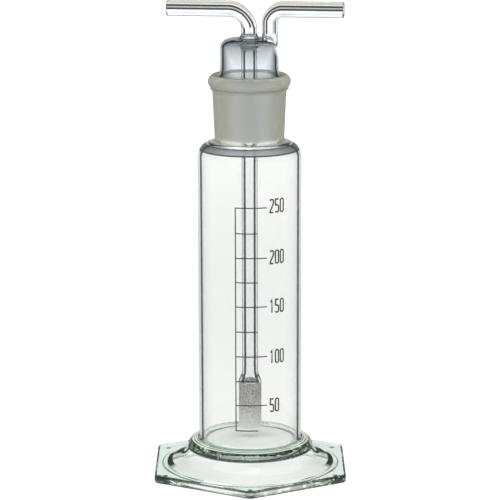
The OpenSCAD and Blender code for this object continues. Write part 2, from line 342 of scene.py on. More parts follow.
def glass(name, tint, edge=(), height=(), inside=(), lines=(), rough=0.0, bumps=(), tints=(),
          sides=None, mottle=None, volume=None):
    """Clear or ground glass with layers of painted light and painted shade.

    edge, height, inside and lines are lists of (stops, zone, colour): the stops are a ramp of how
    much of the colour's painted shade and light shows. edge goes by how steeply the air side is
    seen, inside does the same for the glass side, and height goes by Z in metres, each within a
    zone or everywhere. lines goes by one or two attributes named in place of the zone, times each
    other.
    rough may be (value, zone), bumps are (scale, detail, strength, distance, zone), tints are
    (tint, zone), sides is a ramp of tints by facing, which paints shade, mottle names the zone of
    patches of painted dark green shade and painted glints, and volume is the colour and density
    that the glass absorbs."""
    m, nt = new_material(name)
    weight = nt.nodes.new("ShaderNodeLayerWeight")
    weight.inputs["Blend"].default_value = 0.5
    facing = weight.outputs["Facing"]
    core = nt.nodes.new("ShaderNodeNewGeometry").outputs["Backfacing"]
    air = math_node(nt, "SUBTRACT", 1.0, core)
    shader = glass_body(nt, tint, facing, rough, bumps, tints, sides)
    place, up = rim_coordinate(nt) if mottle or height else (None, None)
    shares = {}

    def gather(part, side, colour):
        part = times(nt, part, side)
        known = shares.get(colour)
        shares[colour] = math_node(nt, "MAXIMUM", known, part) if known else part

    for parts, measure, side in ((edge, facing, air), (height, up, air), (inside, facing, core)):
        for stops, zone, colour in parts:
            part = ramp_node(nt, measure, stops)
            gather(times(nt, part, attribute(nt, zone)) if zone else part, side, colour)
    for stops, (measure, *others), colour in lines:
        part = ramp_node(nt, attribute(nt, measure), stops)
        for other in others:
            part = times(nt, part, attribute(nt, other))
        gather(part, air, colour)
    # the lightest painted layer is the lowest, so painted dark shade lines lie on top of the
    # painted shade bands and painted light
    for colour, share in sorted(shares.items(), key=lambda item: -sum(item[0])):
        shader = painted_shading_layer(nt, share, shader, colour)
    # patches of painted dark green shade, then painted glints, on the air side of the mottle zone
    if mottle:
        zone = times(nt, attribute(nt, mottle), air)
        shade_patch = times(nt, ramp_node(nt, noise(nt, place, 380, 2.5, 0.8), GREEN_SHADE_NOISE),
                      ramp_node(nt, facing, GREEN_SHADE_FACING))
        shader = painted_shading_layer(nt, times(nt, shade_patch, zone), shader, GREEN_SHADE)
        glint = ramp_node(nt, noise(nt, place, 700, 1.0), PAINTED_GLINT_NOISE)
        shader = painted_shading_layer(nt, times(nt, glint, zone), shader, PAINTED_GLINT)
    # the lamps' light passes straight through, since caustics are off
    see, path = nt.nodes.new("ShaderNodeBsdfTransparent"), nt.nodes.new("ShaderNodeLightPath")
    see.inputs["Color"].default_value = (LAMP, LAMP, LAMP, 1)
    lamp_rays = [path.outputs[kind] for kind in ("Is Shadow Ray", "Is Diffuse Ray")]
    straight = math_node(nt, "MAXIMUM", *lamp_rays)
    shader = shader_mix(nt, straight, shader, see.outputs["BSDF"])
    absorb = None
    if volume:
        v = nt.nodes.new("ShaderNodeVolumeAbsorption")
        v.inputs["Color"].default_value = (*volume[0], 1)
        v.inputs["Density"].default_value = volume[1]
        absorb = v.outputs["Volume"]
    finish_material(nt, shader, absorb)
    return m


# Ramps by facing, from 0 where a surface is seen square on to 1 at its outline. They set how much
# painted shade shows: dark lines and darker outlines on the glass.
BODY_SKIN = [(0.30, 0.0), (0.45, 0.06), (0.575, 0.2), (0.61, 0.6), (0.635, 0.93), (0.68, 0.93),
             (0.705, 0.38), (0.85, 0.3), (1.0, 0.3)]
NECK_SKIN = [(0.0, 0.15), (0.12, 0.2), (0.3, 0.48), (0.5, 0.66), (0.62, 0.8), (1.0, 0.88)]
SHOULDER_SKIN = [(0.1, 0.0), (0.45, 0.45), (0.7, 0.6)]
COLLAR_SKIN = [(0.86, 0.0), (0.92, 0.8), (1.0, 0.9)]
PLATE_SKIN = [(0.7, 0.0), (0.715, 0.55), (0.73, 0.55), (0.745, 0.0), (0.77, 0.0), (0.8, 0.95),
              (0.86, 0.95), (0.89, 0.25), (1.0, 0.3)]
CREASE_SKIN = [(0.62, 0.0), (0.66, 0.97), (0.8, 0.97), (0.84, 0.0)]
BELL_SKIN = [(0.78, 0.0), (0.84, 0.75), (0.93, 0.8), (0.97, 0.1)]
RIM_SKIN = [(0.6, 0.0), (0.78, 0.3), (0.9, 0.8), (1.0, 0.85)]
STEP_SKIN = [(0.5, 0.0), (0.72, 0.9), (1.0, 0.95)]
TUBE_SKIN = [(0.14, 0.0), (0.16, 0.98), (0.345, 0.98), (0.37, 0.12), (0.58, 0.12), (0.66, 0.85),
             (1.0, 0.9)]
DOME_SKIN = [(0.1, 0.05), (0.19, 0.14), (0.3, 0.32), (0.37, 0.48), (0.413, 0.6), (0.462, 0.7),
             (0.51, 0.78), (0.525, 0.98), (0.62, 0.98), (0.655, 0.6), (0.778, 0.5), (1.0, 0.5)]
ARM_SKIN = [(0.6, 0.0), (0.72, 0.8), (1.0, 0.85)]
PIP_SKIN = [(0.0, 0.8), (1.0, 0.85)]
# tints of the ground cone by facing: painted khaki shade, darker towards its outline
CONE_SIDE_SHADE = [(0.1, (0.67, 0.65, 0.63)), (0.26, (0.49, 0.475, 0.415)), (0.6, (0.33, 0.32, 0.255))]
# Ramps of painted dark shade by height, in metres: a line low on the neck, bands up the dome to its
# top.
NECK_LOW = [(0.1732, 0.0), (0.1736, 0.6), (0.1742, 0.6), (0.1746, 0.0)]
DOME_UP = [(0.2105, 0.03), (0.2135, 0.12), (0.2188, 0.4), (0.2215, 0.5), (0.224, 0.68),
           (0.2246, 0.15), (0.2252, 0.15), (0.2255, 0.6), (0.2259, 0.1), (0.2268, 0.1),
           (0.2272, 0.6), (0.2277, 0.1)]
# Ramps by an attribute: the share itself, and the way round an arm from its upper side. Round the
# arms they paint dark shade lines, a blue-grey shade band and a cream light band.
SHARE = [(0.0, 0.0), (1.0, 1.0)]
ARM_LINES = [(0.3, 0.0), (0.315, 0.97), (0.38, 0.97), (0.395, 0.0), (0.44, 0.0), (0.455, 0.95),
             (0.515, 0.95), (0.53, 0.0)]
ARM_SHADE_BAND = [(0.365, 0.0), (0.385, 0.8), (0.46, 0.7), (0.48, 0.0)]
ARM_CREAM = [(0.05, 0.0), (0.1, 0.3), (0.315, 0.5), (0.335, 0.0)]
ARM_INNER = [(0.7, 0.0), (0.76, 0.4), (0.82, 0.5), (0.84, 0.95), (0.885, 0.95), (0.91, 0.1)]

bottle_glass = glass(
    "bottle_glass", (0.915, 0.912, 0.905),
    edge=[(BODY_SKIN, "outer", DARK_SHADE), (COLLAR_SKIN, "collar", DARK_SHADE), (PLATE_SKIN, "plate", DARK_SHADE),
          (RIM_SKIN, "rim", DARK_SHADE), (CREASE_SKIN, "crease", DARK_SHADE), (NECK_SKIN, "neck", WARM_SHADE),
          (SHOULDER_SKIN, "shoulder", DARK_SHADE)],
    height=[(NECK_LOW, "neck", DARK_SHADE)],
    inside=[(STEP_SKIN, "step", DARK_SHADE), (BELL_SKIN, "bell", DARK_SHADE)],
    lines=[(SHARE, ("shade_lines",), DARK_SHADE), (SHARE, ("band",), BAND_SHADE), (SHARE, ("pale",), PALE_LIGHT),
           (SHARE, ("crest",), CREST_LIGHT)],
    rough=(0.55, "ground"),
    bumps=[(160, 3, 0.35, 0.0012, "collar"), (260, 2, 0.06, 0.001, "rim")],
    tints=[((0.9, 0.905, 0.885), "foot"), ((0.86, 0.945, 0.9), "flat")],
    mottle="mottle", volume=((0.5, 0.86, 0.58), 10.0))
# the pips' glass is almost wholly covered with painted dark shade
pip_glass = glass("pip_glass", CLEAR, edge=[(PIP_SKIN, None, DARK_SHADE)])
head_glass = {
    "dome": glass("dome_outside", DOME_TINT, edge=[(DOME_SKIN, "away", DARK_SHADE)],
                  height=[(DOME_UP, "away", DARK_SHADE)]),
    "inside": glass("dome_inside", DOME_TINT),
    "ground": glass("stopper_ground", (0.7, 0.68, 0.64), rough=0.6, sides=CONE_SIDE_SHADE),
    "tube": glass("tube_outside", CLEAR, edge=[(TUBE_SKIN, None, DARK_SHADE)]),
    "bore": glass("tube_bore", CLEAR),
    "arm": glass("arm_outside", ARM_TINT, edge=[(ARM_SKIN, None, DARK_SHADE)],
                 lines=[(ARM_CREAM, ("around",), CREAM_LIGHT), (ARM_SHADE_BAND, ("around", "level"), SHADE_GREY),
                        (ARM_LINES, ("around",), DARK_SHADE), (ARM_INNER, ("around", "upright"), DARK_SHADE)]),
}


# ---------------------------------------------------------------- sizes in millimetres
# Most are the sizes of the solids. COLLAR_H and PLATE_LOW are lower here, the ends of the cone
# are given here, and the solids leave out some small rounds and the rise of the floor.
HEAD_TURN = math.radians(-8)
FLATS, CORNER_R, EDGE_R = 49.0, 4.0, 1.1
PLATE_LOW, PLATE_TOP = 0.15, 4.2
PIP_R, PIP_INSET, PIP_TOP = 1.2, 5.8, 0.6
COLLAR_X, COLLAR_R, COLLAR_H, WAIST_Z = 25.5, 6.8, 4.6, 12.7
FLARE_X, FLARE_R, CONE_SLOPE = 38.8, 6.5, math.radians(18.5)
BELL_T, HOLLOW_ROUND, CAVITY_TOP = 2.6, 2.5, 12.6
RING_IN, RING_OUT, RING_ROUND = 42.3, 45.6, 0.3
BODY_R, WALL, FLOOR, FLOOR_RISE, FLOOR_ROUND = 26.5, 1.65, 16.3, 0.7, 2.6
SHOULDER_Z, SHOULDER_R, SHOULDER_X = 164.5, 8.5, 18.0
NECK_R, NECK_FILLET = 17.7, 1.2
GROUND_Z, MOUTH_Z, MOUTH_ROUND, RIM_Z = 174.0, 205.0, 1.5, 207.0
BEAD_Z, BEAD_R, BEAD_FILLET = 203.4, 3.75, 2.4
JOINT_R, JOINT_LOW = 17.25, 15.7
DOME_R, DOME_WALL, DOME_ROUND, DOME_TOP = 14.8, 1.6, 5.0, 225.0
SEAL_FILLET, RISER_FILLET = 3.0, 0.9
CONE_FOOT, CONE_FOOT_ROUND = 175.6, 0.6
CONE_OUTSIDE = ((15.73, 176.0), (17.19, 204.6))         # low and top end, as (r, z)
CONE_INSIDE = ((14.15, CONE_FOOT), (15.55, 204.0))
TUBE_R, BORE_R, ARM_Z = 4.0, 2.65, 240.0
INLET_END, INLET_BEND = -42.0, 10.0
OUTLET_END, OUTLET_BEND, RISER_X = 48.0, 6.5, 10.5
TIP_Z, TIP_R = 46.8, 5.9
FILTER_R, FILTER_LOW, FILTER_WALL, FILTER_ROUND = 5.9, 22.8, 2.4, 0.8


# ---------------------------------------------------------------- bottle and foot, one fused glass
# what the glass reads: each attribute, and its share in the zones of the skin. The attributes for
# outlines, lines, the shoulder band, the inner floor, the collar's crest and the patches paint
# shade and light; ground sets roughness, foot and flat set tints, and collar and rim also set
# bumps.
FOOT_ZONES = ("collar", "crest", "crest_line", "collar_line", "plate", "crease", "cone_end",
              "flat", "rim", "rim_line", "step", "bell")
BOTTLE_SHARES = {
    "outer": {"body": 1, "band": 1, "band_line": 1},
    "shoulder": {"band": 1},
    "band": {"band": 0.8, "band_line": 0.3},
    "neck": {"neck": 1, "bead_line": 1},
    "ground": {"ground": 1},
    "pale": {"floor": 0.62},
    "collar": {"collar": 1, "collar_line": 1, "crest": 1, "crest_line": 1},
    "crest": {"crest": 0.8},
    "plate": {"plate": 1},
    "crease": {"crease": 1},
    "flat": {"flat": 1},
    "rim": {"rim": 1, "rim_line": 1},
    "step": {"step": 1},
    "bell": {"bell": 1},
    "foot": dict.fromkeys(FOOT_ZONES, 1),
    # painted dark shade lines: at the collar, round the shoulder band, round the plate's rim, at
    # the bead and across the collar's crest
    "shade_lines": {"collar_line": 0.8, "band_line": 0.85, "rim_line": 0.8, "bead_line": 0.25,
            "crest_line": 0.3},
    "mottle": {"collar": 1, "rim": 1, "collar_line": 0.3, "rim_line": 0.6, "crest": 0.12},
}
BOTTLE_ZONES = ["body", "band", "band_line", "neck", "bead_line", "inside", "ground", "floor",
                *FOOT_ZONES]


def hexagon(angle, inset):
    """Radius of the foot's rounded hexagon, moved in by inset. Its flats face +X and -X."""
    half = math.pi / 6
    h, rc = FLATS - inset, CORNER_R - inset
    phi = abs((angle + half) % (2 * half) - half)
    if phi <= math.atan((h - rc) * math.tan(half) / h):
        return h / math.cos(phi)
    d, b = (h - rc) / math.cos(half), half - phi
    return d * math.cos(b) + math.sqrt(rc * rc - (d * math.sin(b)) ** 2)


def hex_ring(z, inset, circle=None, share=1.0):
    """A ring on the hexagon, or share of the way from a circle to it."""
    def at(a):
        r = hexagon(a, inset)
        if circle is not None:
            r = circle + (r - circle) * share
        return (r * math.cos(a), r * math.sin(a), z)
    return at


def corner_angles():
    return [math.pi / 6 + k * math.pi / 3 for k in range(6)]


def foot_angles():
    """Every 2 degrees, and every half degree round the six corners."""
    out = full_turn(180)
    for corner in corner_angles():
        out += [corner + math.radians(d / 2.0) for d in range(-11, 12) if d % 4]
    return sorted(set(round(a % TAU, 6) for a in out))


def cone_start(r):
    """Where a flare of radius r round the waist runs into the shallow cone."""
    return FLARE_X - r * math.sin(CONE_SLOPE), WAIST_Z - r * math.cos(CONE_SLOPE)


def foot_profile():
    """The outside of the foot from the body down to the plate: collar, flare, and a shallow
    cone, with the radius at which it ends. The collar's rounded top is a flattened circle."""
    x, z = cone_start(FLARE_R)
    fall = math.tan(CONE_SLOPE)
    land = x + (z - PLATE_TOP) / fall
    top = math.degrees(math.acos((BODY_R + 0.35 - COLLAR_X) / COLLAR_R))
    collar = [(r, WAIST_Z + (h - WAIST_Z) * COLLAR_H / COLLAR_R)
              for r, h in arc(COLLAR_X, WAIST_Z, COLLAR_R, top, 0, 20)]
    collar.insert(0, (BODY_R, collar[0][1] + 0.5))
    flare = arc(FLARE_X, WAIST_Z, FLARE_R, 180, 270 - math.degrees(CONE_SLOPE), 22)
    cone = line((x, z), (land - 0.6, PLATE_TOP + 0.6 * fall), 5)
    cone += [(land - 0.25, PLATE_TOP + 0.1), (land + 0.1, PLATE_TOP + 0.02)]
    return collar, flare, cone, land + 0.5


def hollow():
    """The wall of the foot's hollow, from the standing ring up: a step, then along the flare."""
    r, corner = FLARE_R + BELL_T, HOLLOW_ROUND
    x, z = cone_start(r)
    edge = RING_IN - 0.7
    cz = CAVITY_TOP - corner
    cx = FLARE_X - math.sqrt((r + corner) ** 2 - (WAIST_Z - cz) ** 2)
    touch = math.degrees(math.atan2(WAIST_Z - cz, FLARE_X - cx))
    z_edge = z - (edge - x) * math.tan(CONE_SLOPE)
    step = [(RING_IN, RING_ROUND), (RING_IN - 0.02, z_edge - 0.7), (RING_IN - 0.2, z_edge - 0.25)]
    roof = join(line((edge, z_edge), (x, z), 4),
                arc(FLARE_X, WAIST_Z, r, 270 - math.degrees(CONE_SLOPE), 180 + touch, 18),
                arc(cx, cz, corner, touch, 90, 8))
    return step, roof


def add_inside(skin):
    """From the middle of the floor, up the inner wall, to the mouth."""
    inner, flat = BODY_R - WALL, 21
    # the middle of the floor gets a layer of painted pale light
    skin.add([(r, FLOOR + FLOOR_RISE * (1 - (r / flat) ** 2) ** 2) for r in range(0, flat + 1, 3)],
             "floor")
    skin.add(arc(inner - FLOOR_ROUND, FLOOR + FLOOR_ROUND, FLOOR_ROUND, -90, 0, 8), "inside")
    skin.add(wall(inner, FLOOR + FLOOR_ROUND, SHOULDER_Z), "inside")
    skin.add(arc(SHOULDER_X, SHOULDER_Z, SHOULDER_R - WALL, 0, 72, 14), "inside")
    neck = arc(SHOULDER_X + 0.2, SHOULDER_Z + 10.4, 4.0, 262, 185, 8)
    skin.add([(max(r, JOINT_LOW), z) for r, z in neck if z < GROUND_Z - 0.3], "inside")
    skin.add([(JOINT_LOW, GROUND_Z - 0.2)], "inside")
    skin.add(line((JOINT_LOW, GROUND_Z), (JOINT_R, MOUTH_Z), 16), "ground")
    skin.add(arc(JOINT_R + MOUTH_ROUND, MOUTH_Z, MOUTH_ROUND, 180, 100, 5), "bead_line")


def add_outside(skin):
    """From the bead down the socket, over the shoulder, and down the body."""
    bead = arc(JOINT_R, BEAD_Z, BEAD_R, 72, -60, 22)
    skin.add(bead[:2], "bead_line")
    skin.add(bead[2:-2], "neck")
    skin.add(bead[-2:], "bead_line")
    skin.add(arc(JOINT_R + MOUTH_ROUND + BEAD_FILLET, BEAD_Z - BEAD_R - 1.9, BEAD_FILLET,
                 120, 178, 6), "neck")
    reach, x = SHOULDER_R + NECK_FILLET, NECK_R + NECK_FILLET
    root = math.acos((x - SHOULDER_X) / reach)
    z, root = SHOULDER_Z + reach * math.sin(root), math.degrees(root)
    skin.add(line((JOINT_R + 1.47, RIM_Z - 9.6), (NECK_R, z), 10), "neck")
    skin.add(arc(x, z, NECK_FILLET, 180, 180 + root, 6), "neck")
    # round the shoulder a band of painted grey shade, bordered by painted dark shade lines
    for a in range(int(root), -1, -2):
        border = 57 <= a <= 61 or 30 <= a <= 34
        skin.add(arc(SHOULDER_X, SHOULDER_Z, SHOULDER_R, a, a, 1)[:1],
                 "band_line" if border else "band" if 32 < a < 60 else "body")


def add_foot(skin):
    """From the body down over the collar and the bell, and round the plate's edge."""
    collar, flare, cone, land = foot_profile()
    skin.add(wall(BODY_R, SHOULDER_Z, collar[0][1]), "body")
    # painted dark shade lines at the top and foot of the collar and across its crest, and painted
    # pale green light on the crest
    skin.add(collar[:2], "collar_line")
    for i in range(2, 9):
        skin.add([collar[i]], "crest_line" if i in (3, 6) else "crest")
    skin.add(collar[9:-3], "collar")
    skin.add(collar[-3:] + flare[:2], "collar_line")
    skin.add(flare[2:] + cone[:-5], "plate")
    skin.add(cone[-5:-3], "crease")
    skin.add(cone[-3:], "cone_end")
    skin.add([hex_ring(PLATE_TOP, EDGE_R, land, s) for s in (0.05, 0.3, 0.65)], "flat")
    skin.add([hex_ring(PLATE_TOP, EDGE_R)], "rim")
    # painted dark shade lines along the rounded edges of the plate's rim
    for i in range(1, 7):
        a = math.radians(15 * i)
        skin.add([hex_ring(PLATE_TOP - EDGE_R * (1 - math.cos(a)), EDGE_R * (1 - math.sin(a)))],
                 "rim_line" if 2 <= i <= 5 else "rim")
    for i in range(7):
        a = math.radians(15 * i)
        skin.add([hex_ring(PLATE_LOW + EDGE_R * (1 - math.sin(a)), EDGE_R * (1 - math.cos(a)))],
                 "rim_line" if 1 <= i <= 4 else "rim")


def add_underside(skin):
    """From the plate's edge inwards: standing ring, hollow, and its roof to the axis."""
    ring, r = RING_OUT + RING_ROUND, RING_ROUND
    skin.add([hex_ring(PLATE_LOW, EDGE_R, ring, s) for s in (0.65, 0.3, 0.0)], "flat")
    skin.add(arc(RING_OUT - r, r, r, 30, -90, 4), "plate")
    skin.add(arc(RING_IN + r, r, r, 270, 180, 4)[:-1], "plate")
    step, roof = hollow()
    skin.add(step, "step")
    skin.add(roof, "bell")
    skin.add([(x, CAVITY_TOP) for x in (22, 18, 14, 10, 6, 2.5, 0)], "plate")


def build_bottle():
    skin = Skin()
    for add in (add_inside, add_outside, add_foot, add_underside):
        add(skin)
    obj = skin.mesh("bottle_with_foot", foot_angles(), [None] * len(BOTTLE_ZONES), BOTTLE_ZONES)
    mesh = obj.data
    # the slots' numbers become attributes of the faces, and one material serves them all
    index = [0] * len(mesh.polygons)
    mesh.polygons.foreach_get("material_index", index)
    for name, shares in BOTTLE_SHARES.items():
        values = [float(shares.get(BOTTLE_ZONES[i], 0)) for i in index]
        if name == "mottle":
            values = [v * painted_patch_share(face.center) for v, face in zip(values, mesh.polygons)]
        mesh.attributes.new(name, "FLOAT", "FACE").data.foreach_set("value", values)
    mesh.materials.clear()
    mesh.materials.append(bottle_glass)
    mesh.polygons.foreach_set("material_index", [0] * len(index))
    return obj


def painted_patch_share(center):
    """How much painted dark green shade and painted glints a face gets: on the rim more at its left
    end and along its right half, on the collar more towards its sides."""
    x, y = center.x / MM, center.y / MM
    if math.hypot(x, y) > RING_OUT:
        return min(1, max(0.08, (-x - 26) / 8 if x < -4 else (x + 8) / 26))
    return min(1, max(0.3, (abs(x) - 2) / 16))


bottle = build_bottle()
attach(bottle, "bottle")
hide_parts("bottle", "foot")


def build_pips():
    """Small round pips under the corners of the plate, with their tops inside its glass."""
    far = (FLATS - CORNER_R) / math.cos(math.pi / 6) + CORNER_R - PIP_INSET
    outline = ((0, 0.0), (PIP_R - 0.4, 0.0), (PIP_R - 0.12, 0.08), (PIP_R, 0.25), (PIP_R, PIP_TOP),
               (0, PIP_TOP))
    one, skin, _ = revolve([circle_ring(r, z) for r, z in outline], full_turn(24))
    verts, faces = [], []
    for a in corner_angles():
        faces += [tuple(i + len(verts) for i in face) for face in skin]
        verts += [(x + far * math.cos(a), y + far * math.sin(a), z) for x, y, z in one]
    return mesh_object("foot_pips", verts, faces, [pip_glass])


pips = build_pips()
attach(pips, "bottle")


# ---------------------------------------------------------------- printed scale, thin enamel
ENAMEL_LOW, ENAMEL_TOP = 0.005, 0.04        # above the glass
LEFT, MARK_W, BAR_W, DIGIT_LINE = -7.25, 0.55, 0.6, 0.8
DIGIT_W, DIGIT_H, DIGIT_X, DIGIT_STEP = 1.85, 6.65, 10.55, 2.95
LONG_MARK, SHORT_MARK = 8.8, 4.05
LABELS = (("250", 142.9, 0.7), ("200", 117.15, 0.25), ("150", 92.0, 0.0), ("100", 66.1, -0.4),
          ("50", 40.5, -0.3))       # text, height of its mark, lift of the digits above it
SHORT_MARKS = (129.8, 104.6, 79.0, 53.1, 27.2)
BAR_ENDS = (26.93, 143.2)


def enamel():
    m, nt = new_material("scale_enamel")
    p = nt.nodes.new("ShaderNodeBsdfPrincipled")
    tone = ramp_node(nt, noise(nt, object_place(nt), 900),
                     [(0.35, (0.02, 0.02, 0.018)), (0.65, (0.04, 0.039, 0.034))])
    nt.links.new(tone, p.inputs["Base Color"])
    p.inputs["Roughness"].default_value = 0.45
    finish_material(nt, p.outputs["BSDF"])
    return m


def ribbon(path, width, closed):
    """Left and right sides of a stroke along a path in the unrolled plane."""
    n, sides = len(path), ([], [])
    for i, p in enumerate(path):
        a = path[i - 1] if i or closed else p
        b = path[(i + 1) % n] if i < n - 1 or closed else p
        t0 = Vector((p[0] - a[0], p[1] - a[1])).normalized() if a != p else None
        t1 = Vector((b[0] - p[0], b[1] - p[1])).normalized() if b != p else None
        t0, t1 = t0 or t1, t1 or t0
        m = Vector((-(t0 + t1).y, (t0 + t1).x)).normalized()
        d = width / 2 / max(m.dot(Vector((-t0.y, t0.x))), 0.45)
        sides[0].append((p[0] + m.x * d, p[1] + m.y * d))
        sides[1].append((p[0] - m.x * d, p[1] - m.y * d))
    return sides


def digits():
    """The strokes of the digits that the scale needs, each with whether it is closed."""
    w, h, bow = DIGIT_W, DIGIT_H, DIGIT_W / 2
    zero = join(arc(bow, h - bow, bow, 0, 180, 12), arc(bow, bow, bow, 180, 360, 12))
    one = [(0.1, h - 1.15), (0.55, h - 0.8), (0.95, h), (0.95, 0.0)]
    two = join(arc(bow, h - bow, bow, 165, 0, 10),
               [(w, h - 1.5), (w * 0.92, h - 2.3), (w * 0.55, h * 0.42), (w * 0.18, h * 0.2),
                (0.02, h * 0.07), (0.0, 0.0), (w, 0.0)])
    five = join([(w, h), (0.1, h), (0.06, h * 0.56)], arc(bow, h * 0.42, bow, 125, 0, 7),
                arc(bow, bow, bow, 0, -165, 10))
    return {"0": (zero, True), "1": (one, False), "2": (two, False), "5": (five, False)}


def build_scale():
    verts, faces, glyphs = [], [], digits()

    def stroke(path, width, closed=False):
        left, right = ribbon(path, width, closed)
        n, start = len(path), len(verts)
        low, top = BODY_R + ENAMEL_LOW, BODY_R + ENAMEL_TOP
        for side, r in ((left, top), (right, top), (right, low), (left, low)):
            for s, z in side:
                verts.append((r * math.sin(s / BODY_R), -r * math.cos(s / BODY_R), z))
        for i in range(n if closed else n - 1):
            j = (i + 1) % n
            for k in range(4):
                a, b = start + k * n, start + (k + 1) % 4 * n
                faces.append((a + i, a + j, b + j, b + i))
        if not closed:
            faces.append(tuple(start + k * n for k in range(4)))
            faces.append(tuple(start + k * n + n - 1 for k in range(4)))

    for label, z, lift in LABELS:
        stroke(line((LEFT, z), (LONG_MARK, z), 14), MARK_W)
        for i, digit in enumerate(label):
            path, closed = glyphs[digit]
            x, y = DIGIT_X + DIGIT_STEP * i, z + lift - DIGIT_H / 2
            stroke([(x + u, y + v) for u, v in path], DIGIT_LINE, closed)
    for z in SHORT_MARKS:
        stroke(line((LEFT, z), (SHORT_MARK, z), 14), MARK_W)
    bar = LEFT - 0.05
    stroke(line((bar, BAR_ENDS[0]), (bar, BAR_ENDS[1]), 30), BAR_W)
    return mesh_object("scale_print", verts, faces, [enamel()])


scale = build_scale()
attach(scale, "bottle")


# ---------------------------------------------------------------- head, one fused glass
END_ROUND = ((0.55, 0.03), (0.2, 0.25), (0.0, 0.7))     # from the arm's end, below its radius
ON_ARM = 5e-5           # m: a point this close to an arm's ring lies on that arm
BEND_STEPS, ROUND_STEPS = 20, 96
SUNK_R, SUNK_DEPTH = 3.6, 0.8                   # the outlet's lower end, in the dome's wall
# the turn of the painted shade lines, in degrees, and the share of the painted blue-grey shade band
# that fades, on the way up the arms
LINE_TURN, ARM_SHADE_FADE = 14, 0.75
INLET_LEVEL, OUTLET_LEVEL = (232.0, 239.0), (234.5, 239.5)      # from upright to level
CLEAR_ROUND_RISER, CLEAR_FADE, LEAST_LINES = 4.5, 2.5, 0.12


def bend(radius, x0, z0, direction, r, flat_out, flat_in):
    """Rings of a quarter bend that turns from +Z to direction * X. Halfway round, flat_out and
    flat_in are the shares of r that the tube keeps on the outside and inside of the bend."""
    rings = []
    for i in range(1, BEND_STEPS + 1):
        al = math.pi / 2 * i / BEND_STEPS
        w = math.sin(2 * al) ** 2
        a, b = (2 - flat_out - flat_in) / 2 * w, (flat_in - flat_out) / 2 * w
        cx = x0 + direction * radius * (1 - math.cos(al))
        cz = z0 + radius * math.sin(al)

        def at(t, cx=cx, cz=cz, al=al, a=a, b=b):
            c = -direction * math.cos(t)          # 1 on the outside of the bend
            off = r * math.cos(t) * (1 - a - b * c)
            return (cx + off * math.cos(al), r * math.sin(t), cz - direction * off * math.sin(al))
        rings.append(at)
    return rings


def straight(stations, direction):
    """Rings of an arm along X: stations are (x, radius)."""
    return [lambda t, x=x, r=r: (x, r * math.sin(t), ARM_Z - direction * r * math.cos(t))
            for x, r in stations]


def outer_arm(bend_end, end, direction):
    """Rings of an arm's outside from its bend to its rounded end."""
    stations = line((bend_end, TUBE_R), (end - direction, TUBE_R), 10)[1:]
    stations += [(end - direction * back, TUBE_R - drop) for back, drop in END_ROUND]
    return straight(stations, direction)


def riser_ring(r, z):
    return lambda t: (RISER_X + r * math.cos(t), r * math.sin(t), z)


def turned(verts):
    """The head stands turned in its socket."""
    c, s = math.cos(HEAD_TURN), math.sin(HEAD_TURN)
    return [(x * c - y * s, x * s + y * c, z) for x, y, z in verts]


def around(skin, angles, direction, low, high):
    """For the points of an arm: its place, how far round the tube it lies from the outside of
    the bend, from 0 to 1, how upright the tube is there, and how level. On the way to the
    upright part the painted dark shade lines turn by LINE_TURN degrees and the painted blue-grey
    shade band fades by the share set beside LINE_TURN."""
    found = []
    for ring, zone in zip(skin.rings, skin.zones):
        if zone != "arm":
            continue
        points = [ring(a) for a in angles]
        mid = sum(q[2] for q in points) / len(points)
        upright = min(1.0, max(0.0, (high - mid) / (high - low)))
        for a, place in zip(angles, turned(points)):
            side = math.degrees(math.acos(-direction * math.cos(a)))
            found.append((place, (side + LINE_TURN * upright) / 180, upright,
                          1 - ARM_SHADE_FADE * upright))
    return found


def store(obj, name, values):
    obj.data.attributes.new(name, "FLOAT", "POINT").data.foreach_set("value", values)


def store_around(obj, found):
    """Looks the arms' values up by place, because the booleans drop them from the mesh."""
    tree = KDTree(len(found))
    for i, item in enumerate(found):
        tree.insert([c * MM for c in item[0]], i)
    tree.balance()
    near = [tree.find(v.co) for v in obj.data.vertices]
    for k, name in ((1, "around"), (2, "upright"), (3, "level")):
        store(obj, name, [found[i][k] if d < ON_ARM else 0.0 for _, i, d in near])


